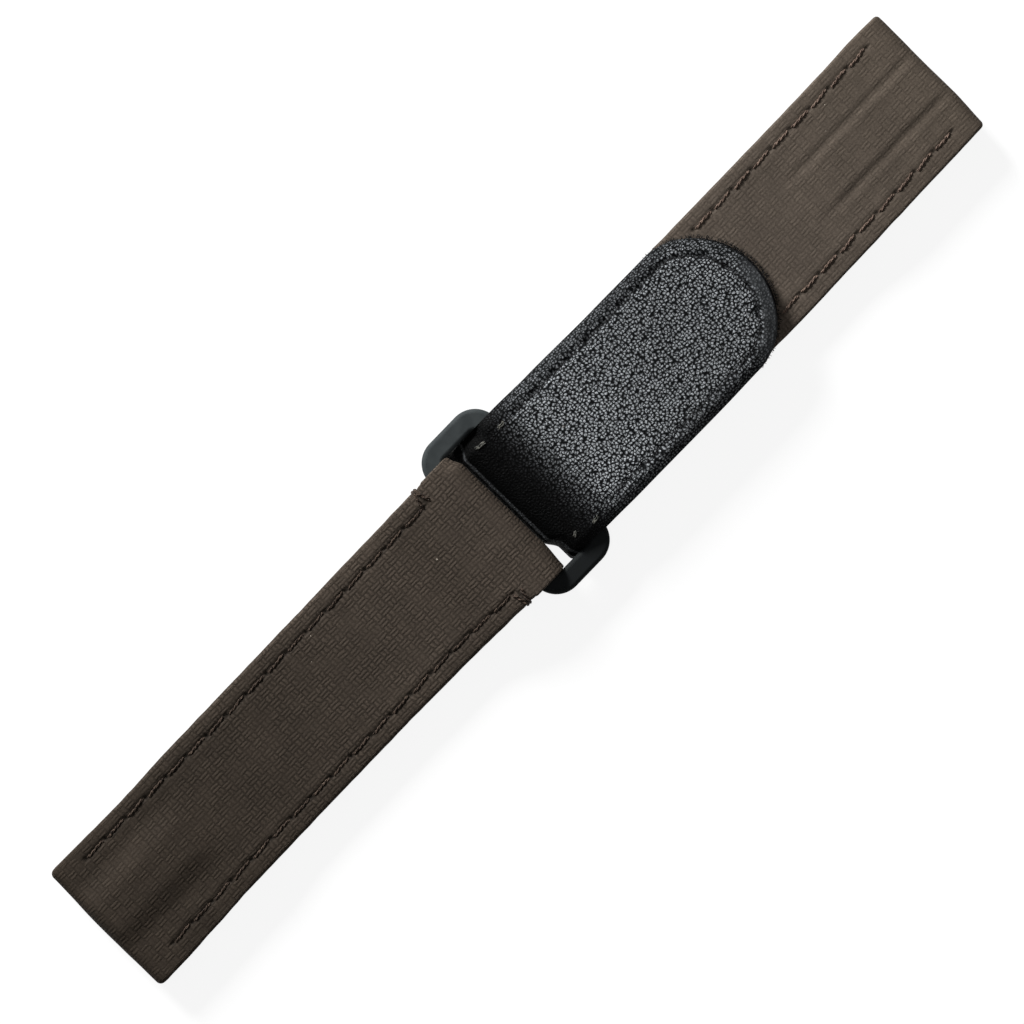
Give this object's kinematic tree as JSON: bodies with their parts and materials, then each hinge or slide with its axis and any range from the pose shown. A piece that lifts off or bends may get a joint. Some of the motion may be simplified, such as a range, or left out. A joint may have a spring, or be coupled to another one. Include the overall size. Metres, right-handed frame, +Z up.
{
  "type": "hook-and-loop watch strap",
  "caption": "Two-piece fabric watch strap with leather lining, joined by a flat ring and closed by a touch-fastening tab.",
  "frame": {"origin": "under the middle of the strap laid flat, on the surface that it lies on", "axes": "+X along the strap towards the lug end of the half that carries the tab, +Y across it, +Z up from the face"},
  "size_m": [0.1534, 0.0262, 0.0058],
  "materials": {
    "brown_fabric": "rubberised basket weave, satin",
    "core_foam": "matt",
    "stiffener_tape": "plain woven tape, matt",
    "black_leather": "pebbled grain, satin",
    "lining_leather": "fine grain, matt",
    "brown_thread": "twisted thread",
    "black_thread": "twisted thread",
    "loop_pile": "brushed loop pile, matt",
    "hook_nylon": "moulded hooks, satin",
    "ring_metal": "matt black coating"
  },
  "bodies": {
    "long_strap": {"long_skin": "brown_fabric", "long_core": "core_foam", "long_stiffener": "stiffener_tape", "long_lining": "black_leather", "long_stitch_left": "brown_thread", "long_stitch_right": "brown_thread", "loop_tape": "loop_pile", "loop_tape_stitch": "black_thread", "tab_fold": "black_leather"},
    "ring": {"ring": "ring_metal"},
    "short_strap": {"short_skin": "brown_fabric", "short_core": "core_foam", "short_stiffener": "stiffener_tape", "short_lining": "lining_leather", "short_stitch_left": "brown_thread", "short_stitch_right": "brown_thread"},
    "tab": {"tab_leather": "black_leather", "hook_tape": "hook_nylon", "tab_stitch": "black_thread"}
  },
  "joints": [
    {"name": "ring_swing", "type": "hinge", "parent": "long_strap", "child": "ring", "pos_m": [0.00425, 0, 0.0029], "axis": [0, 1, 0], "range_deg": [-90, 8]},
    {"name": "short_swing", "type": "hinge", "parent": "ring", "child": "short_strap", "pos_m": [-0.00485, 0, 0.0029], "axis": [0, 1, 0], "range_deg": [-90, 8]},
    {"name": "tab_peel", "type": "hinge", "parent": "long_strap", "child": "tab", "pos_m": [0.00215, 0, 0.0029], "axis": [0, -1, 0], "range_deg": [0, 100], "deforming": ["tab_fold"]}
  ]
}
